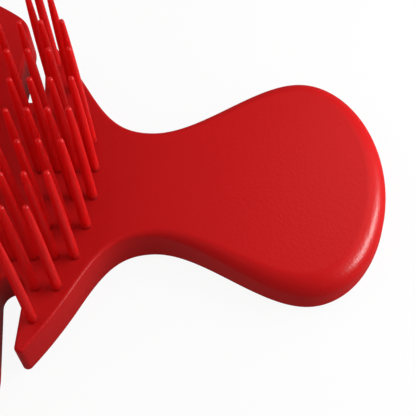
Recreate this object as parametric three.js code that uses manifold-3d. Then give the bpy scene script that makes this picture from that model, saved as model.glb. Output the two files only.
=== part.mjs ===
// Leaf-shaped hair brush. A hollow moulded body has open slots between the lobes of its leaf,
// carriers with tines are pushed through holes in its face from behind, and a cover closes the back.
// Millimetres. +Z is up along the tines, +X points to the end of the handle, the back lies on Z = 0.
import * as THREE from 'three';
import { mergeVertices } from 'three/addons/utils/BufferGeometryUtils.js';
import Module from 'manifold-3d';

const wasm = await Module();
wasm.setup();

// Outline, measured from the narrowest point of the neck
const HEAD_LENGTH = 128;
const HANDLE_LENGTH = 39.2;
const LEAF_WIDTH = 92;
const LEAF_WIDEST = 52;
const HANDLE_WIDTH = 41.6;
const HANDLE_END = 13.7;
const NECK_WIDTH = 20.4;
const FLARE_X = 11.9;
const FLARE_Y = 19.8;
const FLARE_ANGLE = THREE.MathUtils.degToRad(60.5);
const TIP_BACK = 3.5;
const TIP_HALF = 7.5;
const TIP_REACH = 26;
const TIP_ANGLE = THREE.MathUtils.degToRad(52);

// Reach of the curves' handles, as shares of the stretches that they bend over
const PADDLE_HOLD = 0.32;
const NECK_HOLD = 0.475;
const FLARE_HOLD = 0.64;
const LEAF_RISE = 0.58;
const LEAF_CROWN = 0.38;
const SIDE_HOLD = 0.5;

// Section of the body
const THICKNESS = 7.5;
const FACE = 2;
const WALL = 2.2;
const HEAD_EDGE = 0.6;
const HANDLE_EDGE = 3.5;
const HEAD_BACK_EDGE = 0.3;
const HANDLE_BACK_EDGE = 1.6;
const EDGE_BLEND_FROM = -14;
const EDGE_BLEND_TO = 36;

// Slots between the lobes on each side, widest at their round inner ends. From the first to the last
// vein the round ends come nearer to the midrib and the veins lean more towards the tip. The last
// vein has no slot. The corners are the radii of the two lobes at a slot's mouth, towards the handle
// and the tip.
const SLOTS = 4;
const SLOT_WIDTH = 4.8;
const SLOT_MOUTH_WIDTH = 2.8;
const FIRST_VEIN_X = 22.1;
const FIRST_VEIN_Y = 19.6;
const LAST_VEIN_FROM_TIP = 22;
const LAST_VEIN_Y = 9;
const LAST_VEIN_TILT = THREE.MathUtils.degToRad(46);
const FIRST_MOUTH = { near: 0.9, far: 6 };
const MOUTH = { near: 3, far: 4 };

// Tines and their carriers
const TINE_LENGTH = 25;
const TINE_RADIUS = 0.84;
const TIP_RADIUS = 0.5;
const TIP_FLAT = 0.22;
const TIP_ROUND = 0.45;
const TINE_SIDES = 6;
const TINE_PITCH = 5.95;
const TINE_CLEARANCE = 0.12;
const CARRIER_MARGIN = 0.1;
const LOBE_ROWS = [0.34, 0.66];
const BASE_ROW_X = -9.6;
const BASE_ROW_RADIUS = 42;
const BASE_ROW_STEP = 3.1;
const BASE_ROW_PITCH = 5.55;
const BASE_ROW_PAIRS = [5, 4, 3, 3];
const MIDRIB_START = -26.5;

// Cover and its pegs
const COVER = 2.2;
const FIT_GAP = 0.3;
const PEG_RADIUS = 1.4;
const PEG_CLEARANCE = 0.15;
const BOSS_RADIUS = 3;
const PEG_TOP_GAP = 0.4;
const PEG_PLACES = [[26, 9], [26, -9], [2, 0]];

// Sampling of curves
const OUTLINE_STEP = 3.4;
const DENSE_STEPS = 600;
const SLOT_END_STEPS = 6;
const CORNER_STEPS = 3;
const BAR_END_STEPS = 4;
const CORNER_SEARCH = 0.05;
const TOP_EDGE_STEPS = 3;
const BACK_EDGE_STEPS = 1;
const PEG_SIDES = 10;
const CUT_THROUGH = 1;
const MERGE_DISTANCE = 1e-4;

const faceUnder = THICKNESS - FACE;
const carrierBottom = COVER + FIT_GAP;
const tineTop = THICKNESS + TINE_LENGTH;
const holeRadius = TINE_RADIUS + TINE_CLEARANCE;
const carrierHalf = TINE_RADIUS + CARRIER_MARGIN;
const tineEdge = WALL + FIT_GAP + carrierHalf;
const midribColumn = BASE_ROW_PITCH / 2;
const lobeRowStart = midribColumn + BASE_ROW_PITCH;

const bodyMaterial = new THREE.MeshStandardMaterial({ color: 0xb5161a, roughness: 0.42, metalness: 0 });
const coverMaterial = new THREE.MeshStandardMaterial({ color: 0xae1518, roughness: 0.5, metalness: 0 });
const tineMaterial = new THREE.MeshStandardMaterial({ color: 0xc01114, roughness: 0.28, metalness: 0 });

// One half of the outline, from the end of the handle round the +Y side to the tip of the leaf.
function halfOutline() {
  const neck = NECK_WIDTH / 2;
  const leaf = LEAF_WIDTH / 2;
  const paddleX = HANDLE_LENGTH - HANDLE_END;
  const paddle = HANDLE_WIDTH / 2;
  const flareX = Math.cos(FLARE_ANGLE);
  const flareY = Math.sin(FLARE_ANGLE);
  const flareReach = FLARE_X * FLARE_HOLD;
  const rise = LEAF_WIDEST - FLARE_X;
  const shoulder = HEAD_LENGTH - TIP_BACK;
  const side = shoulder - LEAF_WIDEST;
  const path = new THREE.Path();
  path.moveTo(HANDLE_LENGTH, 0);
  path.absellipse(paddleX, 0, HANDLE_END, paddle, 0, Math.PI / 2, false);
  path.bezierCurveTo(paddleX * (1 - PADDLE_HOLD), paddle, paddleX * PADDLE_HOLD, neck, 0, neck);
  path.bezierCurveTo(
    -FLARE_X * NECK_HOLD, neck,
    -FLARE_X + flareReach * flareX, FLARE_Y - flareReach * flareY,
    -FLARE_X, FLARE_Y,
  );
  path.bezierCurveTo(
    -FLARE_X - rise * LEAF_RISE * flareX, FLARE_Y + rise * LEAF_RISE * flareY,
    -LEAF_WIDEST + rise * LEAF_CROWN, leaf,
    -LEAF_WIDEST, leaf,
  );
  path.bezierCurveTo(
    -LEAF_WIDEST - side * SIDE_HOLD, leaf,
    -shoulder + TIP_REACH * Math.cos(TIP_ANGLE), TIP_HALF + TIP_REACH * Math.sin(TIP_ANGLE),
    -shoulder, TIP_HALF,
  );
  path.quadraticCurveTo(-HEAD_LENGTH, TIP_HALF - TIP_BACK * Math.tan(TIP_ANGLE), -HEAD_LENGTH, 0);
  return path;
}

// Points along the half outline with their distance from its start.
const halfPath = halfOutline();
const dense = halfPath.getSpacedPoints(DENSE_STEPS);
const halfLength = halfPath.getLength();

function outlineAt(distance) {
  const place = THREE.MathUtils.clamp(distance / halfLength, 0, 1) * DENSE_STEPS;
  const first = Math.min(Math.floor(place), DENSE_STEPS - 1);
  return dense[first].clone().lerp(dense[first + 1], place - first);
}

function outlineBetween(from, to) {
  const count = Math.max(1, Math.round((to - from) / OUTLINE_STEP));
  return Array.from({ length: count + 1 }, (_, i) => outlineAt(from + (to - from) * i / count));
}

// The veins on the +Y side, each with the centre of its slot's round end, the direction outwards
// along it and the direction across it towards the handle.
const veins = Array.from({ length: SLOTS + 1 }, (_, i) => {
  const share = i / SLOTS;
  const x = -THREE.MathUtils.lerp(FIRST_VEIN_X, HEAD_LENGTH - LAST_VEIN_FROM_TIP, share);
  const y = FIRST_VEIN_Y * (LAST_VEIN_Y / FIRST_VEIN_Y) ** share;
  const tilt = LAST_VEIN_TILT * share;
  return {
    centre: new THREE.Vector2(x, y),
    along: new THREE.Vector2(-Math.sin(tilt), Math.cos(tilt)),
    across: new THREE.Vector2(Math.cos(tilt), Math.sin(tilt)),
    mouth: i === 0 ? FIRST_MOUTH : MOUTH,
  };
});

function veinPoint(vein, distance) {
  return vein.centre.clone().addScaledVector(vein.along, distance);
}

// Where a ray first crosses the half outline: distance along the outline and the point.
function crossing(start, direction) {
  for (let i = 0; i < DENSE_STEPS; i += 1) {
    const a = dense[i].clone().sub(start);
    const b = dense[i + 1].clone().sub(start);
    const sideA = direction.cross(a);
    const sideB = direction.cross(b);
    const reach = a.dot(direction);
    if (sideA * sideB <= 0 && reach > 0) {
      const share = sideA / (sideA - sideB);
      return { distance: (i + share) / DENSE_STEPS * halfLength, point: a.lerp(b, share).add(start) };
    }
  }
  throw new Error('a slot misses the outline');
}

// The slots lie on all veins but the last. Each side of a slot touches its round end, and has the
// direction outwards along it and the direction square to it, into the lobe.
const slots = veins.slice(0, SLOTS).map((vein) => {
  const reach = crossing(vein.centre, vein.along).point.distanceTo(vein.centre);
  const taper = Math.atan((SLOT_WIDTH - SLOT_MOUTH_WIDTH) / 2 / reach);
  const [near, far] = [1, -1].map((hand) => ({
    outwards: vein.along.clone().rotateAround(new THREE.Vector2(), hand * taper),
    intoLobe: vein.across.clone().multiplyScalar(hand).rotateAround(new THREE.Vector2(), hand * taper),
  }));
  return { ...vein, reach, taper, near, far };
});

function sideOfSlot({ centre }, side, half, distance) {
  return centre.clone().addScaledVector(side.intoLobe, half).addScaledVector(side.outwards, distance);
}

// Corner of a lobe at the mouth of a slot: an arc that touches the outline and the side of the slot,
// found by moving a circle along the inside of the outline until it is clear of the slot.
function mouthCorner(from, step, side, intoLobe, radius) {
  let distance = from;
  let centre = side;
  while (centre.clone().sub(side).dot(intoLobe) < radius) {
    distance += step;
    const tangent = outlineAt(distance + CORNER_SEARCH).sub(outlineAt(distance - CORNER_SEARCH));
    const inwards = new THREE.Vector2(-tangent.y, tangent.x).normalize();
    centre = outlineAt(distance).addScaledVector(inwards, radius);
  }
  const start = outlineAt(distance).sub(centre);
  const end = intoLobe.clone().multiplyScalar(-radius);
  const turn = Math.atan2(start.cross(end), start.dot(end));
  const points = Array.from({ length: CORNER_STEPS + 1 }, (_, i) => start.clone()
    .rotateAround(new THREE.Vector2(), turn * i / CORNER_STEPS)
    .add(centre));
  return { points, distance };
}

// Round inner end of a slot, from its side towards the handle to its side towards the tip.
function slotEnd({ centre, along, across, taper }, radius) {
  return Array.from({ length: SLOT_END_STEPS + 1 }, (_, i) => {
    const turn = THREE.MathUtils.lerp(-taper, Math.PI + taper, i / SLOT_END_STEPS);
    return centre.clone()
      .addScaledVector(across, radius * Math.cos(turn))
      .addScaledVector(along, -radius * Math.sin(turn));
  });
}

// Half outline with the slots cut in from the edge, as points from the handle to the tip.
function lobedHalf() {
  const points = [];
  const half = SLOT_WIDTH / 2;
  let from = 0;
  for (const slot of slots) {
    const [nearCorner, farCorner] = ['near', 'far'].map((key) => {
      const side = slot[key];
      const start = sideOfSlot(slot, side, half, 0);
      const step = key === 'near' ? -CORNER_SEARCH : CORNER_SEARCH;
      const { distance } = crossing(start, side.outwards);
      return mouthCorner(distance, step, start, side.intoLobe, slot.mouth[key]);
    });
    points.push(...outlineBetween(from, nearCorner.distance).slice(0, -1));
    points.push(...nearCorner.points);
    points.push(...slotEnd(slot, half));
    points.push(...farCorner.points.reverse().slice(0, -1));
    from = farCorner.distance;
  }
  points.push(...outlineBetween(from, halfLength));
  return points;
}

// Both halves as one closed outline, counter-clockwise.
function mirrored(half) {
  const other = half.slice(1, -1).reverse().map((p) => new THREE.Vector2(p.x, -p.y));
  return [...half, ...other];
}

// Shift of each outline point for one unit of inset, with both neighbouring sides kept parallel.
function insetVectors(outline) {
  const count = outline.length;
  return outline.map((point, i) => {
    const before = point.clone().sub(outline[(i + count - 1) % count]).normalize();
    const after = outline[(i + 1) % count].clone().sub(point).normalize();
    const normal = new THREE.Vector2(-before.y - after.y, before.x + after.x).normalize();
    return normal.divideScalar(Math.max(0.5, normal.dot(new THREE.Vector2(-after.y, after.x))));
  });
}

function inset(outline, amount) {
  const vectors = insetVectors(outline);
  return outline.map((point, i) => point.clone().addScaledVector(vectors[i], amount));
}

// A slab over an outline with rounded edges, whose radii change from the head to the handle.
function softSlab(outline) {
  const vectors = insetVectors(outline);
  const blend = (x) => THREE.MathUtils.smoothstep(x, EDGE_BLEND_FROM, EDGE_BLEND_TO);
  const topEdge = (x) => THREE.MathUtils.lerp(HEAD_EDGE, HANDLE_EDGE, blend(x));
  const backEdge = (x) => THREE.MathUtils.lerp(HEAD_BACK_EDGE, HANDLE_BACK_EDGE, blend(x));
  const rings = [];
  for (let i = 0; i <= BACK_EDGE_STEPS; i += 1) {
    const turn = Math.PI / 2 * i / BACK_EDGE_STEPS;
    rings.push(outline.map((p, k) => {
      const radius = backEdge(p.x);
      const shifted = p.clone().addScaledVector(vectors[k], radius * (1 - Math.sin(turn)));
      return new THREE.Vector3(shifted.x, shifted.y, radius * (1 - Math.cos(turn)));
    }));
  }
  for (let i = 0; i <= TOP_EDGE_STEPS; i += 1) {
    const turn = Math.PI / 2 * i / TOP_EDGE_STEPS;
    rings.push(outline.map((p, k) => {
      const radius = topEdge(p.x);
      const shifted = p.clone().addScaledVector(vectors[k], radius * (1 - Math.cos(turn)));
      return new THREE.Vector3(shifted.x, shifted.y, THICKNESS - radius * (1 - Math.sin(turn)));
    }));
  }
  return loft(rings);
}

// Closed skin over rings of equally many points, capped at the first and last ring.
function loft(rings) {
  const count = rings[0].length;
  const position = rings.flat().flatMap((p) => [p.x, p.y, p.z]);
  const index = [];
  for (let r = 0; r + 1 < rings.length; r += 1) {
    for (let i = 0; i < count; i += 1) {
      const a = r * count + i;
      const b = r * count + (i + 1) % count;
      index.push(a, b, b + count, a, b + count, a + count);
    }
  }
  const flat = (ring) => ring.map((p) => new THREE.Vector2(p.x, p.y));
  for (const [a, b, c] of THREE.ShapeUtils.triangulateShape(flat(rings[0]), [])) {
    index.push(a, c, b);
  }
  const top = (rings.length - 1) * count;
  for (const [a, b, c] of THREE.ShapeUtils.triangulateShape(flat(rings.at(-1)), [])) {
    index.push(top + a, top + b, top + c);
  }
  const geometry = new THREE.BufferGeometry();
  geometry.setAttribute('position', new THREE.Float32BufferAttribute(position, 3));
  geometry.setIndex(index);
  return geometry;
}

function prism(points, bottom, top) {
  const shape = new THREE.Shape(points);
  const geometry = new THREE.ExtrudeGeometry(shape, { depth: top - bottom, bevelEnabled: false });
  return geometry.translate(0, 0, bottom);
}

// A turned piece about a vertical axis, from [radius, height] pairs that start and end on the axis.
function turned(profile, sides, x, y) {
  const points = profile.map(([radius, height]) => new THREE.Vector2(radius, height));
  const geometry = new THREE.LatheGeometry(points, sides);
  return geometry.rotateX(Math.PI / 2).translate(x, y, 0);
}

function pillar(radius, bottom, top, sides, x, y) {
  return turned([[0, bottom], [radius, bottom], [radius, top], [0, top]], sides, x, y);
}

// Closed geometry to a solid, with shared corners merged and empty triangles left out.
function solid(geometry) {
  geometry.deleteAttribute('normal');
  geometry.deleteAttribute('uv');
  const merged = mergeVertices(geometry, MERGE_DISTANCE);
  const corners = merged.index.array;
  const triVerts = [];
  for (let i = 0; i < corners.length; i += 3) {
    const [a, b, c] = corners.slice(i, i + 3);
    if (a !== b && b !== c && c !== a) {
      triVerts.push(a, b, c);
    }
  }
  return new wasm.Manifold(new wasm.Mesh({
    numProp: 3,
    vertProperties: Float32Array.from(merged.attributes.position.array),
    triVerts: Uint32Array.from(triVerts),
  }));
}

function join(solids) {
  return solids.reduce((whole, piece) => whole.add(piece));
}

function mesh(name, body, material) {
  const { vertProperties, triVerts } = body.getMesh();
  const geometry = new THREE.BufferGeometry();
  geometry.setAttribute('position', new THREE.BufferAttribute(vertProperties, 3));
  geometry.setIndex(new THREE.BufferAttribute(triVerts, 1));
  geometry.computeVertexNormals();
  const result = new THREE.Mesh(geometry, material);
  result.name = name;
  return result;
}

// The leaf without slots, drawn in by a margin, less every slot widened by the same margin.
function insideOfShell(margin, bottom, top) {
  const whole = solid(prism(inset(mirrored(outlineBetween(0, halfLength)), margin), bottom, top));
  const keepOuts = slots.flatMap((slot) => {
    const half = SLOT_WIDTH / 2 + margin;
    const past = slot.reach + 2 * half;
    const points = slotEnd(slot, half).reverse();
    points.push(sideOfSlot(slot, slot.near, half, past));
    points.push(sideOfSlot(slot, slot.far, half, past));
    const opposite = points.map((p) => new THREE.Vector2(p.x, -p.y)).reverse();
    return [points, opposite].map((outline) => solid(
      prism(outline, bottom - CUT_THROUGH, top + CUT_THROUGH),
    ));
  });
  return whole.subtract(join(keepOuts));
}

// Distance from a point to the nearest edge of the lobed outline.
function edgeDistance(outline, point) {
  let nearest = Infinity;
  outline.forEach((start, i) => {
    const side = outline[(i + 1) % outline.length].clone().sub(start);
    const share = THREE.MathUtils.clamp(point.clone().sub(start).dot(side) / side.lengthSq(), 0, 1);
    nearest = Math.min(nearest, point.distanceTo(start.clone().addScaledVector(side, share)));
  });
  return nearest;
}

function tine(place) {
  const profile = [
    [0, carrierBottom + FIT_GAP],
    [TINE_RADIUS, carrierBottom + FIT_GAP],
    [TIP_RADIUS, tineTop - TIP_ROUND],
    [TIP_FLAT, tineTop],
    [0, tineTop],
  ];
  return solid(turned(profile, TINE_SIDES, place.x, place.y));
}

function tineHole(place) {
  return solid(pillar(holeRadius, carrierBottom, THICKNESS + CUT_THROUGH, TINE_SIDES, place.x, place.y));
}

function arc(centre, radius, from, to, steps) {
  return Array.from({ length: steps + 1 }, (_, i) => {
    const turn = THREE.MathUtils.lerp(from, to, i / steps);
    return new THREE.Vector2(Math.cos(turn), Math.sin(turn)).multiplyScalar(radius).add(centre);
  });
}

// Rows of tines on arcs across the base of the leaf, in columns along it, on bars with round ends.
function baseRow(row) {
  const centre = new THREE.Vector2(BASE_ROW_X - BASE_ROW_RADIUS, 0);
  const radius = BASE_ROW_RADIUS - row * BASE_ROW_STEP;
  const pairs = BASE_ROW_PAIRS[row];
  const columns = Array.from({ length: 2 * pairs }, (_, i) => (i + 0.5 - pairs) * BASE_ROW_PITCH);
  const places = columns.map((y) => new THREE.Vector2(Math.sqrt(radius ** 2 - y ** 2), y).add(centre));
  const end = Math.asin(columns.at(-1) / radius);
  const bar = [
    ...arc(centre, radius + carrierHalf, -end, end, 2 * pairs),
    ...arc(places.at(-1), carrierHalf, end, end + Math.PI, BAR_END_STEPS).slice(1, -1),
    ...arc(centre, radius - carrierHalf, end, -end, 2 * pairs),
    ...arc(places[0], carrierHalf, Math.PI - end, 2 * Math.PI - end, BAR_END_STEPS).slice(1, -1),
  ];
  return { name: `tine_row_base_${row + 1}`, places, bar };
}

// Two columns of tines down the middle of the leaf.
function midribStrip(outline) {
  const places = [];
  for (let x = MIDRIB_START; ; x -= TINE_PITCH) {
    const place = new THREE.Vector2(x, midribColumn);
    if (edgeDistance(outline, place) < tineEdge) {
      break;
    }
    places.push(place, new THREE.Vector2(x, -midribColumn));
  }
  const high = midribColumn + carrierHalf;
  const front = MIDRIB_START + carrierHalf;
  const back = places.at(-1).x - carrierHalf;
  const bar = [[back, -high], [front, -high], [front, high], [back, high]];
  return { name: 'tine_strip_midrib', places, bar: bar.map(([x, y]) => new THREE.Vector2(x, y)) };
}

// Rows of tines that run outwards along one lobe, between two neighbouring veins.
function lobePad(outline, lobe, side) {
  const [near, far] = [veins[lobe], veins[lobe + 1]];
  const between = (share, distance) => veinPoint(near, distance).lerp(veinPoint(far, distance), share);
  const rows = LOBE_ROWS.map((share) => {
    const middle = between(share, 0);
    const along = between(share, 1).sub(middle);
    const start = middle.clone().addScaledVector(along, (lobeRowStart - middle.y) / along.y);
    along.normalize();
    const count = Math.floor(crossing(start, along).point.distanceTo(start) / TINE_PITCH);
    return Array.from({ length: count + 1 }, (_, i) => start.clone()
      .addScaledVector(along, i * TINE_PITCH))
      .filter((place) => edgeDistance(outline, place) >= tineEdge);
  });
  const [first, second] = rows;
  const rim = [first[0], first.at(-1), second.at(-1), second[0]];
  const bar = inset(rim, -carrierHalf);
  const flip = (p) => (side > 0 ? p : new THREE.Vector2(p.x, -p.y));
  const word = side > 0 ? 'left' : 'right';
  const outlineOfBar = side > 0 ? bar : bar.map(flip).reverse();
  return { name: `tine_pad_${word}_${lobe + 1}`, places: rows.flat().map(flip), bar: outlineOfBar };
}

const lobedOutline = mirrored(lobedHalf());
const baseRows = BASE_ROW_PAIRS.map((_, row) => baseRow(row));
const carriers = [
  ...baseRows,
  midribStrip(lobedOutline),
  ...[1, -1].flatMap((side) => slots.map((_, lobe) => lobePad(lobedOutline, lobe, side))),
];

function brushBody() {
  const hollow = insideOfShell(WALL, -CUT_THROUGH, faceUnder);
  const pockets = carriers.map(({ bar }) => solid(
    prism(inset(bar, -FIT_GAP), -CUT_THROUGH, faceUnder),
  ));
  const holes = carriers.flatMap(({ places }) => places.map(tineHole));
  const bosses = PEG_PLACES.map(([x, y]) => solid(
    pillar(BOSS_RADIUS, carrierBottom, faceUnder + FACE / 2, PEG_SIDES, x, y),
  ));
  const sockets = PEG_PLACES.map(([x, y]) => solid(
    pillar(PEG_RADIUS + PEG_CLEARANCE, carrierBottom - CUT_THROUGH, faceUnder, PEG_SIDES, x, y),
  ));
  return solid(softSlab(lobedOutline))
    .subtract(hollow)
    .subtract(join(pockets))
    .add(join(bosses))
    .subtract(join([...sockets, ...holes]));
}

// The cover also reaches under the ends of the base rows, whose pockets cut into the walls.
function backCover() {
  const panel = insideOfShell(WALL + FIT_GAP, 0, COVER);
  const tabs = baseRows.map(({ bar }) => solid(prism(bar, 0, COVER)));
  const pegs = PEG_PLACES.map(([x, y]) => solid(
    pillar(PEG_RADIUS, COVER / 2, faceUnder - PEG_TOP_GAP, PEG_SIDES, x, y),
  ));
  return panel.add(join([...tabs, ...pegs]));
}

function tineCarrier({ places, bar }) {
  return join([solid(prism(bar, carrierBottom, faceUnder)), ...places.map(tine)]);
}

const brush = new THREE.Group();
brush.position.x = (HEAD_LENGTH - HANDLE_LENGTH) / 2;
brush.add(mesh('brush_body', brushBody(), bodyMaterial));
brush.add(mesh('back_cover', backCover(), coverMaterial));
for (const carrier of carriers) {
  brush.add(mesh(carrier.name, tineCarrier(carrier), tineMaterial));
}

export default brush;
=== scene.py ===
"""Looks of a leaf-shaped brush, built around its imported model.

Metres. +Z is up along the tines, +X points to the end of the handle, and the back lies on Z = 0.
"""
import math
import random

import bmesh
import bpy
from mathutils import Matrix, Vector
from mathutils.geometry import delaunay_2d_cdt, normal


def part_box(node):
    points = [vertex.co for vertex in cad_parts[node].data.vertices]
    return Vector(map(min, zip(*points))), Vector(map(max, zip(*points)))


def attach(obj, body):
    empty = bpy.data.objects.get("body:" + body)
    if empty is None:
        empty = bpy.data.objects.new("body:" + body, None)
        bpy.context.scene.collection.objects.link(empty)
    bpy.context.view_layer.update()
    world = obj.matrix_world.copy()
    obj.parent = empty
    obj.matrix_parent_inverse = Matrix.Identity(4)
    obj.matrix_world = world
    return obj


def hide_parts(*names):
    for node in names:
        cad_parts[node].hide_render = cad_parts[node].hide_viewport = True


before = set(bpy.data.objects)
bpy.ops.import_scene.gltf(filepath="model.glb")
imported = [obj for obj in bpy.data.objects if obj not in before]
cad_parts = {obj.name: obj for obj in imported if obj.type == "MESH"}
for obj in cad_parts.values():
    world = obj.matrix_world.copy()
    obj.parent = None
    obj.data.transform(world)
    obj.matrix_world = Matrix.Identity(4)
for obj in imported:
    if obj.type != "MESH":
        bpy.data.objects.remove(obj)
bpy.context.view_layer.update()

# Outline, measured from the narrowest point of the neck
HEAD_LENGTH = 0.128
HANDLE_LENGTH = 0.0392
LEAF_WIDTH = 0.092
LEAF_WIDEST = 0.052
HANDLE_WIDTH = 0.0416
HANDLE_END = 0.0137
NECK_WIDTH = 0.0204
FLARE_X = 0.0119
FLARE_Y = 0.0198
FLARE_ANGLE = math.radians(60.5)
TIP_BACK = 0.0035
TIP_HALF = 0.0075
TIP_REACH = 0.026
TIP_ANGLE = math.radians(52)

# Reach of the curves' handles, as shares of the stretches that they bend over
PADDLE_HOLD = 0.32
NECK_HOLD = 0.475
FLARE_HOLD = 0.64
LEAF_RISE = 0.58
LEAF_CROWN = 0.38
SIDE_HOLD = 0.5

# Slots between the lobes, with the corner radii at a slot's mouth towards the handle and the tip
SLOTS = 4
SLOT_WIDTH = 0.0048
SLOT_MOUTH_WIDTH = 0.0028
FIRST_VEIN_X = 0.0221
FIRST_VEIN_Y = 0.0196
LAST_VEIN_FROM_TIP = 0.022
LAST_VEIN_Y = 0.009
LAST_VEIN_TILT = math.radians(46)
FIRST_MOUTH = (0.0009, 0.006)
MOUTH = (0.003, 0.004)

# Rounding of the body's edges, from the head to the handle
HEAD_EDGE = 0.0006
HANDLE_EDGE = 0.0035
HEAD_BACK_EDGE = 0.0003
HANDLE_BACK_EDGE = 0.0016
EDGE_BLEND_FROM = -0.014
EDGE_BLEND_TO = 0.036

# Edges of the seam between the body and the cover, and angles that tell the cover's faces apart
SEAM_EDGE = 0.0001
PANEL_EDGE = 0.00025
PANEL_FLAT = math.radians(1)
PANEL_CORNER = math.radians(45)
ROUND_PROFILE = 0.5

# Tines, each with a narrower foot inside the outline of its bar, and the holes that they pass
FOOT_RADIUS = 0.0007
FOOT_RISE = 0.0003
ROOT_RADIUS = 0.00082
TIP_RADIUS = 0.00045
TAPER_POWER = 3
TINE_LEAN = 0.00008
TINE_APART = 0.001
TINE_SEED = 7
FACE_THICKNESS = 0.002
HOLE_RADIUS = 0.000826
HOLE_LEDGE = 0.0004

# Sampling of curves
CURVE_STEPS = 200
DENSE_STEP = 0.00005
OUTLINE_STEP = 0.0008
CORNER_STEPS = 10
SLOT_END_STEPS = 20
TOP_EDGE_STEPS = 12
BACK_EDGE_STEPS = 6
PANEL_EDGE_STEPS = 3
TINE_SIDES = 20
TINE_STEPS = 8
TIP_STEPS = 6

# Tolerances, and the kind of triangulation that stays inside the outermost loop
WELD = 1e-7
LEVEL = 1e-6
INSIDE = 1

# Colours and finishes, with the relief of the grain in the plastic and in the gloss of its skin
RED = (0.58, 0.0085, 0.0095)
TINE_RED = (0.52, 0.005, 0.0055)
WHITE = (1, 1, 1, 1)
BODY_FINISH = {
    "roughness": 0.3,
    "coat": 0.09,
    "grain_height": 0.00002,
    "skin_height": 0.00005,
    "scatter": 0,
}
COVER_FINISH = {**BODY_FINISH, "roughness": 0.36}
TINE_FINISH = {
    "roughness": 0.42,
    "coat": 0.16,
    "grain_height": 0.000003,
    "skin_height": 0.00001,
    "scatter": 1,
}
SPECULAR = 0.0
SCATTER_RADIUS = (1, 0.12, 0.12)
SCATTER_SCALE = 0.006
GRAIN_SIZE = 0.00045
GRAIN_DETAIL = 1.0
PATCH_SIZE = 0.014
PATCH_DETAIL = 3.0
COLOUR_VARIATION = 0.04
ROUGHNESS_VARIATION = 0.06

# Camera
CAMERA_TARGET = Vector((0.05391, -0.00555, 0.0075))
CAMERA_DISTANCE = 0.1690
CAMERA_AZIMUTH = math.radians(4.91)
CAMERA_ELEVATION = math.radians(59.23)
CAMERA_ROLL = math.radians(-5.56)
CAMERA_LENS = 89.06
CAMERA_CLIP = 0.0169

# Lamps, with the point that each one faces. Two of them only show in the gloss of the plastic.
HANDLE_POINT = (0.075, 0, 0.006)
HEAD_POINT = (-0.03, 0, 0.006)
LAMPS = {
    "softbox": {"place": (0.17, 0.014, 0.064), "target": HANDLE_POINT, "size": (0.14, 0.14), "power": 0.205},
    "fill": {"place": (-0.08, 0, 0.12), "target": HEAD_POINT, "size": (0.16, 0.16), "power": 0.085},
    "glint": {"place": (0.201, -0.004, 0.048), "target": HANDLE_POINT, "size": (0.1, 0.03), "power": 1.5},
    "haze": {"place": (0.115, 0.080, 0.134), "target": HANDLE_POINT, "size": (0.08, 0.08), "power": 0.08},
}
GLOSS_LAMPS = ("glint", "haze")

# Floor and surroundings, white in view and dimmer in the light that they cast
AMBIENT = 0.32
WHITE_STRENGTH = 1.0
FLOOR_SIZE = 8.0
FLOOR_DROP = 0.00005
FLOOR_COLOUR = (0.92, 0.92, 0.92, 1)
FLOOR_BOUNCE = (0.42, 0.42, 0.42, 1)
FLOOR_GLOW = 0.92

body_low, body_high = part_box("brush_body")
neck_x = body_high.x - HANDLE_LENGTH
face_z = body_high.z
back_z = body_low.z


# Outline of the leaf and the handle

def bezier(*controls):
    """Points along a Bezier curve, without its last one."""
    degree = len(controls) - 1
    points = []
    for i in range(CURVE_STEPS):
        t = i / CURVE_STEPS
        point = Vector((0, 0))
        for k, control in enumerate(controls):
            point += Vector(control) * (math.comb(degree, k) * t**k * (1 - t)**(degree - k))
        points.append(point)
    return points


def spaced(points, step):
    """The points of a line again at even steps, with both ends kept."""
    lengths = [0]
    for a, b in zip(points, points[1:]):
        lengths.append(lengths[-1] + (b - a).length)
    count = max(1, round(lengths[-1] / step))
    result = []
    k = 0
    for i in range(count + 1):
        wanted = lengths[-1] * i / count
        while k < len(points) - 2 and lengths[k + 1] < wanted:
            k += 1
        share = (wanted - lengths[k]) / (lengths[k + 1] - lengths[k])
        result.append(points[k].lerp(points[k + 1], share))
    return result


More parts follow.
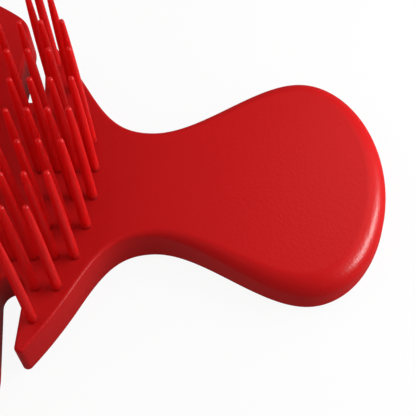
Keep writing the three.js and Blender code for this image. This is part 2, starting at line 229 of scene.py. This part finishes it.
def half_outline():
    """The outline on the +Y side without slots, from the end of the handle to the tip."""
    neck, leaf, paddle = NECK_WIDTH / 2, LEAF_WIDTH / 2, HANDLE_WIDTH / 2
    paddle_x = HANDLE_LENGTH - HANDLE_END
    flare = Vector((-FLARE_X, FLARE_Y))
    flare_slope = Vector((math.cos(FLARE_ANGLE), -math.sin(FLARE_ANGLE)))
    rise = LEAF_WIDEST - FLARE_X
    shoulder = Vector((TIP_BACK - HEAD_LENGTH, TIP_HALF))
    shoulder_slope = Vector((math.cos(TIP_ANGLE), math.sin(TIP_ANGLE)))
    side = HEAD_LENGTH - TIP_BACK - LEAF_WIDEST
    turns = [math.pi / 2 * i / CURVE_STEPS for i in range(CURVE_STEPS)]
    points = [Vector((paddle_x + HANDLE_END * math.cos(t), paddle * math.sin(t))) for t in turns]
    points += bezier(
        (paddle_x, paddle),
        (paddle_x * (1 - PADDLE_HOLD), paddle),
        (paddle_x * PADDLE_HOLD, neck),
        (0, neck),
    )
    points += bezier(
        (0, neck),
        (-FLARE_X * NECK_HOLD, neck),
        flare + flare_slope * FLARE_X * FLARE_HOLD,
        flare,
    )
    points += bezier(
        flare,
        flare - flare_slope * rise * LEAF_RISE,
        (rise * LEAF_CROWN - LEAF_WIDEST, leaf),
        (-LEAF_WIDEST, leaf),
    )
    points += bezier(
        (-LEAF_WIDEST, leaf),
        (-LEAF_WIDEST - side * SIDE_HOLD, leaf),
        shoulder + shoulder_slope * TIP_REACH,
        shoulder,
    )
    points += bezier(
        shoulder,
        (-HEAD_LENGTH, TIP_HALF - TIP_BACK * math.tan(TIP_ANGLE)),
        (-HEAD_LENGTH, 0),
    )
    points.append(Vector((-HEAD_LENGTH, 0)))
    return spaced([point + Vector((neck_x, 0)) for point in points], DENSE_STEP)


def slots():
    """The slots on the +Y side: centre of the round end, along outwards, across, and radii of the mouth."""
    for i in range(SLOTS):
        share = i / SLOTS
        x = FIRST_VEIN_X + (HEAD_LENGTH - LAST_VEIN_FROM_TIP - FIRST_VEIN_X) * share
        y = FIRST_VEIN_Y * (LAST_VEIN_Y / FIRST_VEIN_Y) ** share
        tilt = LAST_VEIN_TILT * share
        along = Vector((-math.sin(tilt), math.cos(tilt)))
        across = Vector((math.cos(tilt), math.sin(tilt)))
        yield Vector((neck_x - x, y)), along, across, FIRST_MOUTH if i == 0 else MOUTH


def crossing(outline, start, along):
    """Index of the outline's point where a ray leaves the leaf."""
    for i, (a, b) in enumerate(zip(outline, outline[1:])):
        if along.cross(a - start) * along.cross(b - start) <= 0 and along.dot(a - start) > 0:
            return i
    raise ValueError("a slot misses the outline")


def mouth_corner(outline, index, step, side, into_lobe, radius):
    """Arc that touches the outline and the side of a slot, and the outline's index where it starts."""
    centre = side
    while (centre - side).dot(into_lobe) < radius:
        index += step
        tangent = (outline[index + 1] - outline[index - 1]).normalized()
        centre = outline[index] + Vector((-tangent.y, tangent.x)) * radius
    start = outline[index] - centre
    end = -radius * into_lobe
    turn = math.atan2(start.cross(end), start.dot(end))
    arc = [centre + Matrix.Rotation(turn * i / CORNER_STEPS, 2) @ start for i in range(CORNER_STEPS + 1)]
    return arc, index


def lobed_outline():
    """The whole outline with its slots, counter-clockwise from the end of the handle."""
    outline = half_outline()
    radius = SLOT_WIDTH / 2
    half = []
    first = 0
    for centre, along, across, mouth in slots():
        reach = (outline[crossing(outline, centre, along)] - centre).length
        taper = math.atan((SLOT_WIDTH - SLOT_MOUTH_WIDTH) / 2 / reach)
        corners = []
        for hand, corner_radius in zip((1, -1), mouth):
            lean = Matrix.Rotation(hand * taper, 2)
            into_lobe = lean @ (across * hand)
            side = centre + into_lobe * radius
            index = crossing(outline, side, lean @ along)
            corners.append(mouth_corner(outline, index, -hand, side, into_lobe, corner_radius))
        (near_arc, near), (far_arc, far) = corners
        half += spaced(outline[first:near + 1], OUTLINE_STEP)[:-1]
        half += near_arc
        for i in range(SLOT_END_STEPS + 1):
            turn = (math.pi + 2 * taper) * i / SLOT_END_STEPS - taper
            half.append(centre + across * radius * math.cos(turn) - along * radius * math.sin(turn))
        half += far_arc[:0:-1]
        first = far
    half += spaced(outline[first:], OUTLINE_STEP)
    return half + [Vector((point.x, -point.y)) for point in half[-2:0:-1]]


def inset_vectors(outline):
    """Shift of each point for one unit of inset, with the sides kept parallel."""
    vectors = []
    for before, point, after in zip(outline[-1:] + outline[:-1], outline, outline[1:] + outline[:1]):
        first = (point - before).normalized()
        second = (after - point).normalized()
        middle = Vector((-first.y - second.y, first.x + second.x)).normalized()
        vectors.append(middle / middle.dot(Vector((-second.y, second.x))))
    return vectors


# Meshes

def encloses(loop, point):
    """Whether a closed line runs round a point."""
    inside = False
    for a, b in zip(loop, loop[1:] + loop[:1]):
        if (a.y > point.y) != (b.y > point.y):
            share = (point.y - a.y) / (b.y - a.y)
            if point.x < a.x + (b.x - a.x) * share:
                inside = not inside
    return inside


def cap_triangles(loops):
    """Triangles inside the first loop and outside the others, as indices into all of their points."""
    points = [point for loop in loops for point in loop]
    edges = []
    for loop in loops:
        first = len(edges)
        edges += [(first + i, first + (i + 1) % len(loop)) for i in range(len(loop))]
    _, _, triangles, sources, _, _ = delaunay_2d_cdt(points, edges, [], INSIDE, WELD)
    for triangle in triangles:
        corners = [sources[i][0] for i in triangle]
        middle = sum((points[i] for i in corners), Vector((0, 0))) / len(corners)
        if not any(encloses(hole, middle) for hole in loops[1:]):
            yield corners


class Shell:
    """Points and faces of a mesh, with a normal for each corner of each face."""

    def __init__(self):
        self.points = []
        self.faces = []
        self.normals = []

    def add_points(self, points):
        first = len(self.points)
        self.points += points
        return list(range(first, len(self.points)))

    def add_face(self, corners, normals=None):
        if normals is None:
            normals = [normal([self.points[i] for i in corners])] * len(corners)
        self.faces.append(corners)
        self.normals += normals

    def add_cap(self, loops, upwards):
        """Flat faces inside the first loop and outside the others."""
        corners = [i for loop in loops for i in loop]
        for triangle in cap_triangles([[self.points[i].xy for i in loop] for loop in loops]):
            face = [corners[i] for i in triangle]
            self.add_face(face if upwards else face[::-1])

    def make(self, name):
        mesh = bpy.data.meshes.new(name)
        mesh.from_pydata(self.points, [], self.faces)
        mesh.shade_smooth()
        mesh.normals_split_custom_set(self.normals)
        return mesh


def add_object(name, data):
    item = bpy.data.objects.new(name, data)
    bpy.context.scene.collection.objects.link(item)
    return item


def add_piece(name, mesh, node, material):
    """A finished piece that stands for a CAD node."""
    piece = add_object(name, mesh)
    mesh.materials.append(material)
    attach(piece, "root")
    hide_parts(node)
    return piece


def copy_of(node):
    """A bmesh copy of a CAD node, with its split corners welded."""
    bm = bmesh.new()
    bm.from_mesh(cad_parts[node].data)
    bmesh.ops.remove_doubles(bm, verts=bm.verts, dist=WELD)
    return bm


def lies_at(element, z):
    """Whether a face or an edge lies flat at a height."""
    return all(abs(v.co.z - z) < LEVEL for v in element.verts)


def inside_of_body():
    """The inner faces of the CAD body: all but its face, its flat back and its outer side."""
    bm = copy_of("brush_body")
    planes = [f for f in bm.faces if lies_at(f, face_z) or lies_at(f, back_z)]
    bmesh.ops.delete(bm, geom=planes, context="FACES")
    outermost = max(bm.verts, key=lambda v: v.co.x)
    outer = set(outermost.link_faces)
    waiting = list(outer)
    while waiting:
        face = waiting.pop()
        for other in {f for e in face.edges for f in e.link_faces} - outer:
            outer.add(other)
            waiting.append(other)
    bmesh.ops.delete(bm, geom=list(outer), context="FACES")
    bm.verts.index_update()
    return bm


def open_loops(bm):
    """Loops of open edges, as lists of vertices in order."""
    bm.edges.index_update()
    edges = {e.index: e for e in bm.edges if e.is_boundary}
    loops = []
    while edges:
        _, edge = edges.popitem()
        start, vert = edge.verts
        loop = [start]
        while vert != start:
            loop.append(vert)
            edge = next(e for e in vert.link_edges if e.index in edges)
            del edges[edge.index]
            vert = edge.other_vert(vert)
        loops.append(loop)
    return loops


def blended(x, head, handle):
    """A radius that changes smoothly from the head to the handle."""
    share = (x - neck_x - EDGE_BLEND_FROM) / (EDGE_BLEND_TO - EDGE_BLEND_FROM)
    share = min(max(share, 0), 1)
    return head + (handle - head) * share * share * (3 - 2 * share)


def body_rings(outline):
    """Rings of points and normals over the body's side, from its flat back to its face."""
    shifts = inset_vectors(outline)
    steps = [(True, i / BACK_EDGE_STEPS) for i in range(BACK_EDGE_STEPS + 1)]
    steps += [(False, i / TOP_EDGE_STEPS) for i in range(TOP_EDGE_STEPS + 1)]
    for at_back, share in steps:
        sine, cosine = math.sin(math.pi / 2 * share), math.cos(math.pi / 2 * share)
        points, normals = [], []
        for point, shift in zip(outline, shifts):
            outwards = -shift.normalized().to_3d()
            if at_back:
                radius = blended(point.x, HEAD_BACK_EDGE, HANDLE_BACK_EDGE)
                flat = point + shift * radius * (1 - sine)
                points.append(Vector((flat.x, flat.y, back_z + radius * (1 - cosine))))
                normals.append(outwards * sine - Vector((0, 0, cosine)))
            else:
                radius = blended(point.x, HEAD_EDGE, HANDLE_EDGE)
                flat = point + shift * radius * (1 - cosine)
                points.append(Vector((flat.x, flat.y, face_z - radius * (1 - sine))))
                normals.append(outwards * cosine + Vector((0, 0, sine)))
        yield points, normals


def body_shell():
    """The moulded body: a smooth skin over the inside of the CAD body."""
    shell = Shell()
    rings = [(shell.add_points(points), normals) for points, normals in body_rings(lobed_outline())]
    for (low, low_normals), (high, high_normals) in zip(rings, rings[1:]):
        count = len(low)
        for a in range(count):
            b = (a + 1) % count
            shell.add_face(
                [low[a], low[b], high[b], high[a]],
                [low_normals[a], low_normals[b], high_normals[b], high_normals[a]],
            )

    inside = inside_of_body()
    first = len(shell.points)
    shell.add_points([v.co.copy() for v in inside.verts])
    loops = [[first + v.index for v in loop] for loop in open_loops(inside)]
    holes = [loop for loop in loops if abs(shell.points[loop[0]].z - face_z) < LEVEL]
    rims = [loop for loop in loops if abs(shell.points[loop[0]].z - back_z) < LEVEL]
    for face in inside.faces:
        shell.add_face([first + v.index for v in face.verts])
    inside.free()

    rim_edges = [seam_edge(shell, rim) for rim in rims]
    hole_edges = [round_hole(shell, hole) for hole in holes]
    shell.add_cap([rings[-1][0], *hole_edges], upwards=True)
    shell.add_cap([rings[0][0], *rim_edges], upwards=False)
    return shell.make("body_shell")


def circle(middle, radius):
    """Points of a circle that is as fine as a tine."""
    turns = [math.tau * k / TINE_SIDES for k in range(TINE_SIDES)]
    return [middle + Vector((math.cos(t), math.sin(t))) * radius for t in turns]


def round_hole(shell, hole):
    """Narrows a six-sided hole to a round one at the face, and returns its edge there."""
    xs, ys = zip(*(shell.points[i].xy for i in hole))
    middle = Vector((min(xs) + max(xs), min(ys) + max(ys))) / 2
    edge = circle(middle, HOLE_RADIUS)
    ledge_z = face_z - HOLE_LEDGE
    for i in hole:
        shell.points[i].z = ledge_z
    low = shell.add_points([Vector((*point, ledge_z)) for point in edge])
    high = shell.add_points([Vector((*point, face_z)) for point in edge])
    shell.add_cap([hole, low], upwards=False)
    for a in range(TINE_SIDES):
        b = (a + 1) % TINE_SIDES
        shell.add_face([low[b], low[a], high[a], high[b]])
    return high


def seam_edge(shell, rim):
    """Breaks the edge of the opening in the back, and returns the loop where it meets the flat back."""
    flat = [shell.points[i].xy for i in rim]
    if sum(a.cross(b) for a, b in zip(flat, flat[1:] + flat[:1])) < 0:
        rim = rim[::-1]
        flat = flat[::-1]
    widened = [point - shift * SEAM_EDGE for point, shift in zip(flat, inset_vectors(flat))]
    outer = shell.add_points([Vector((point.x, point.y, back_z)) for point in widened])
    for i in rim:
        shell.points[i].z = back_z + SEAM_EDGE
    for i in range(len(rim)):
        k = (i + 1) % len(rim)
        shell.add_face([rim[i], rim[k], outer[k], outer[i]])
    return outer


def back_panel():
    """The cover with the edge of its outer face rounded."""
    bm = copy_of("back_cover")
    bmesh.ops.dissolve_limit(bm, angle_limit=PANEL_FLAT, verts=bm.verts, edges=bm.edges)
    rim = [e for e in bm.edges if lies_at(e, back_z) and e.calc_face_angle() > PANEL_CORNER]
    bmesh.ops.bevel(
        bm, geom=rim, affect="EDGES",
        offset=PANEL_EDGE, segments=PANEL_EDGE_STEPS, profile=ROUND_PROFILE,
    )
    return finished(bm, "back_panel")


def finished(bm, name):
    mesh = bpy.data.meshes.new(name)
    bm.to_mesh(mesh)
    bm.free()
    return mesh


def tine_places(bm):
    """Centres of the tines' ends on a CAD carrier, and their height."""
    top = max(v.co.z for v in bm.verts)
    groups = []
    for vert in bm.verts:
        if vert.co.z > top - LEVEL:
            point = vert.co.xy
            near = next((g for g in groups if (g[0] - point).length < TINE_APART), None)
            if near:
                near.append(point)
            else:
                groups.append([point])
    return [sum(group, Vector((0, 0))) / len(group) for group in groups], top


def add_tine(bm, foot, lean, bottom, top):
    """A round tapered tine with a domed end. Returns the open ring of its foot."""
    root = bottom + FOOT_RISE
    dome = top - TIP_RADIUS
    profile = [(FOOT_RADIUS, bottom)]
    for i in range(TINE_STEPS):
        share = i / TINE_STEPS
        radius = ROOT_RADIUS + (TIP_RADIUS - ROOT_RADIUS) * share ** TAPER_POWER
        profile.append((radius, root + (dome - root) * share))
    for i in range(TIP_STEPS):
        turn = math.pi / 2 * i / TIP_STEPS
        profile.append((TIP_RADIUS * math.cos(turn), dome + TIP_RADIUS * math.sin(turn)))
    rings = []
    for radius, z in profile:
        middle = foot + lean * max(0, z - face_z) / (top - face_z)
        rings.append([bm.verts.new((*point, z)) for point in circle(middle, radius)])
    end = bm.verts.new((*(foot + lean), top))
    for k in range(TINE_SIDES):
        j = (k + 1) % TINE_SIDES
        for low, high in zip(rings, rings[1:]):
            bm.faces.new((low[k], low[j], high[j], high[k])).smooth = True
        bm.faces.new((rings[-1][k], rings[-1][j], end)).smooth = True
    return rings[0]


def tine_carrier(node, rng):
    """The CAD carrier's bar with round tines in place of its six-sided ones."""
    bm = copy_of(node)
    places, top = tine_places(bm)
    bar_top = face_z - FACE_THICKNESS
    bmesh.ops.bisect_plane(
        bm, geom=[*bm.verts, *bm.edges, *bm.faces], dist=WELD,
        plane_co=(0, 0, bar_top), plane_no=(0, 0, 1), clear_outer=True,
    )
    lid = [f for f in bm.faces if lies_at(f, bar_top)]
    bmesh.ops.delete(bm, geom=lid, context="FACES")
    for face in bm.faces:
        face.smooth = False
    loops = open_loops(bm)
    for place in places:
        turn = rng.uniform(0, math.tau)
        lean = Vector((math.cos(turn), math.sin(turn))) * rng.uniform(0, TINE_LEAN)
        loops.append(add_tine(bm, place, lean, bar_top, top))
    corners = [v for loop in loops for v in loop]
    for triangle in cap_triangles([[v.co.xy for v in loop] for loop in loops]):
        bm.faces.new([corners[i] for i in triangle])
    return finished(bm, node)


# Materials

def add_node(tree, kind, inputs=None, **settings):
    node = tree.nodes.new(kind)
    for name, value in settings.items():
        setattr(node, name, value)
    for name, value in (inputs or {}).items():
        if isinstance(value, bpy.types.NodeSocket):
            tree.links.new(value, node.inputs[name])
        else:
            node.inputs[name].default_value = value
    return node


def add_noise(tree, place, size, detail):
    return add_node(tree, "ShaderNodeTexNoise", {"Vector": place, "Scale": 1 / size, "Detail": detail})


def plastic(name, colour, roughness, coat, grain_height, skin_height, scatter):
    """Moulded plastic: a thin satin skin with a fine grain, over a colour that varies a little."""
    material = bpy.data.materials.new(name)
    material.use_nodes = True
    tree = material.node_tree
    tree.nodes.clear()
    place = add_node(tree, "ShaderNodeTexCoord").outputs["Object"]
    grain = add_noise(tree, place, GRAIN_SIZE, GRAIN_DETAIL)
    patches = add_noise(tree, place, PATCH_SIZE, PATCH_DETAIL)
    tint = add_node(tree, "ShaderNodeValToRGB", {"Fac": patches.outputs["Fac"]})
    for stop, share in zip(tint.color_ramp.elements, (1 - COLOUR_VARIATION, 1 + COLOUR_VARIATION)):
        stop.color = (*(c * share for c in colour), 1)
    rough = add_node(tree, "ShaderNodeMapRange", {
        "Value": patches.outputs["Fac"],
        "To Min": roughness * (1 - ROUGHNESS_VARIATION),
        "To Max": roughness * (1 + ROUGHNESS_VARIATION),
    })
    bump = add_node(tree, "ShaderNodeBump", {"Height": grain.outputs["Fac"], "Distance": grain_height})
    skin = add_node(tree, "ShaderNodeBump", {"Height": grain.outputs["Fac"], "Distance": skin_height})
    shader = add_node(tree, "ShaderNodeBsdfPrincipled", {
        "Base Color": tint.outputs["Color"],
        "Roughness": rough.outputs["Result"],
        "Normal": bump.outputs["Normal"],
        "Specular IOR Level": SPECULAR,
        "Coat Weight": coat,
        "Coat Roughness": roughness,
        "Coat Normal": skin.outputs["Normal"],
        "Subsurface Weight": scatter,
        "Subsurface Radius": SCATTER_RADIUS,
        "Subsurface Scale": SCATTER_SCALE,
    })
    add_node(tree, "ShaderNodeOutputMaterial", {"Surface": shader.outputs["BSDF"]})
    return material


def seen_directly(tree):
    """A factor of 1 for what is in view or in a reflection, and 0 for the light that it casts."""
    path = add_node(tree, "ShaderNodeLightPath").outputs
    seen = path["Is Camera Ray"]
    for ray in ("Is Glossy Ray", "Is Transmission Ray"):
        seen = add_node(tree, "ShaderNodeMath", {0: seen, 1: path[ray]}, operation="MAXIMUM").outputs[0]
    return seen


def floor_material():
    """White ground that shows the shadow of the brush faintly, in view and in reflections."""
    material = bpy.data.materials.new("floor_white")
    material.use_nodes = True
    tree = material.node_tree
    tree.nodes.clear()
    paint = add_node(tree, "ShaderNodeBsdfDiffuse", {"Color": FLOOR_COLOUR}).outputs[0]
    glow = add_node(tree, "ShaderNodeEmission", {"Color": WHITE, "Strength": WHITE_STRENGTH}).outputs[0]
    white = add_node(tree, "ShaderNodeMixShader", {0: FLOOR_GLOW, 1: paint, 2: glow}).outputs[0]
    bounce = add_node(tree, "ShaderNodeBsdfDiffuse", {"Color": FLOOR_BOUNCE}).outputs[0]
    mix = add_node(tree, "ShaderNodeMixShader", {0: seen_directly(tree), 1: bounce, 2: white})
    add_node(tree, "ShaderNodeOutputMaterial", {"Surface": mix.outputs[0]})
    return material


# Stage

def add_floor():
    half = FLOOR_SIZE / 2
    mesh = bpy.data.meshes.new("floor")
    z = back_z - FLOOR_DROP
    corners = [(-half, -half, z), (half, -half, z), (half, half, z), (-half, half, z)]
    mesh.from_pydata(corners, [], [(0, 1, 2, 3)])
    mesh.materials.append(floor_material())
    add_object("floor", mesh)


def add_lamp(name, place, target, size, power):
    """A rectangular lamp that faces a point of the brush."""
    light = bpy.data.lights.new(name, "AREA")
    light.shape = "RECTANGLE"
    light.size, light.size_y = size
    light.energy = power
    lamp = add_object(name, light)
    lamp.rotation_mode = "QUATERNION"
    lamp.rotation_quaternion = (Vector(place) - Vector(target)).to_track_quat("Z", "Y")
    lamp.location = place
    lamp.visible_camera = False
    lamp.visible_diffuse = name not in GLOSS_LAMPS


def add_world():
    world = bpy.data.worlds.new("studio")
    world.use_nodes = True
    tree = world.node_tree
    tree.nodes.clear()
    strength = add_node(tree, "ShaderNodeMapRange", {
        "Value": seen_directly(tree),
        "To Min": AMBIENT,
        "To Max": WHITE_STRENGTH,
    }).outputs["Result"]
    sky = add_node(tree, "ShaderNodeBackground", {"Color": WHITE, "Strength": strength})
    add_node(tree, "ShaderNodeOutputWorld", {"Surface": sky.outputs[0]})
    bpy.context.scene.world = world


def add_camera():
    level = math.cos(CAMERA_ELEVATION)
    back = Vector((
        math.sin(CAMERA_AZIMUTH) * level, -math.cos(CAMERA_AZIMUTH) * level, math.sin(CAMERA_ELEVATION)
    ))
    turn = back.to_track_quat("Z", "Y").to_matrix() @ Matrix.Rotation(CAMERA_ROLL, 3, "Z")
    camera = add_object("camera", bpy.data.cameras.new("camera"))
    camera.data.lens = CAMERA_LENS
    camera.data.clip_start = CAMERA_CLIP
    camera.matrix_world = Matrix.LocRotScale(CAMERA_TARGET + back * CAMERA_DISTANCE, turn, None)
    bpy.context.scene.camera = camera


body_plastic = plastic("body_plastic", RED, **BODY_FINISH)
cover_plastic = plastic("cover_plastic", RED, **COVER_FINISH)
tine_plastic = plastic("tine_plastic", TINE_RED, **TINE_FINISH)

add_piece("body_shell", body_shell(), "brush_body", body_plastic)
panel = add_piece("back_panel", back_panel(), "back_cover", cover_plastic)
panel.modifiers.new("flat_faces", "WEIGHTED_NORMAL")
rng = random.Random(TINE_SEED)
for node in sorted(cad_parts):
    if node.startswith("tine_"):
        add_piece(f"round_{node}", tine_carrier(node, rng), node, tine_plastic)

add_floor()
for lamp, settings in LAMPS.items():
    add_lamp(lamp, **settings)
add_world()
add_camera()
bpy.context.scene.view_settings.view_transform = "Standard"
